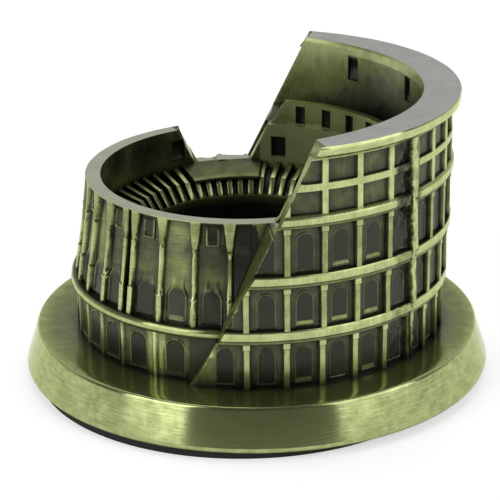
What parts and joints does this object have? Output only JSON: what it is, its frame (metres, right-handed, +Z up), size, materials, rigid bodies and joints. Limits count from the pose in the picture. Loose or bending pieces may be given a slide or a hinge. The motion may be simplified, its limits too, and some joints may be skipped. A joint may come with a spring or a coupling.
{
  "type": "miniature landmark model",
  "caption": "Small die-cast souvenir of a ruined oval amphitheatre with arcaded walls on a round plinth, in antique brass finish",
  "frame": {"origin": "centre of the plinth, on the surface the model stands on", "axes": "+Z up; +X towards the tall side of the ruin, so the model is seen from -Y with its tall side on the right"},
  "size_m": [0.1, 0.1, 0.0628],
  "materials": {
    "antique_brass": "brushed antique brass plating with dark patina in the recesses",
    "bare_cornice": "brushed flat top, worn pale",
    "dark_patina": "blackened, matt",
    "foam_pad": "matt black foam",
    "screw_steel": "zinc plated"
  },
  "bodies": {
    "root": {"base_pad": "foam_pad", "base_plinth": "antique_brass", "fixing_screws": "screw_steel", "arena_floor": "dark_patina", "arena_parapet": "antique_brass", "seating_bowl": "antique_brass", "seating_ribs": "antique_brass", "seating_terrace": "antique_brass", "low_ring_arcade": "antique_brass", "low_ring_band": "antique_brass", "low_ring_upper": "antique_brass", "gallery_wall": "antique_brass", "tall_wall_front": "antique_brass", "tall_wall_side": "antique_brass", "tall_wall_joint": "antique_brass", "tall_wall_cornice": "bare_cornice"}
  },
  "joints": []
}
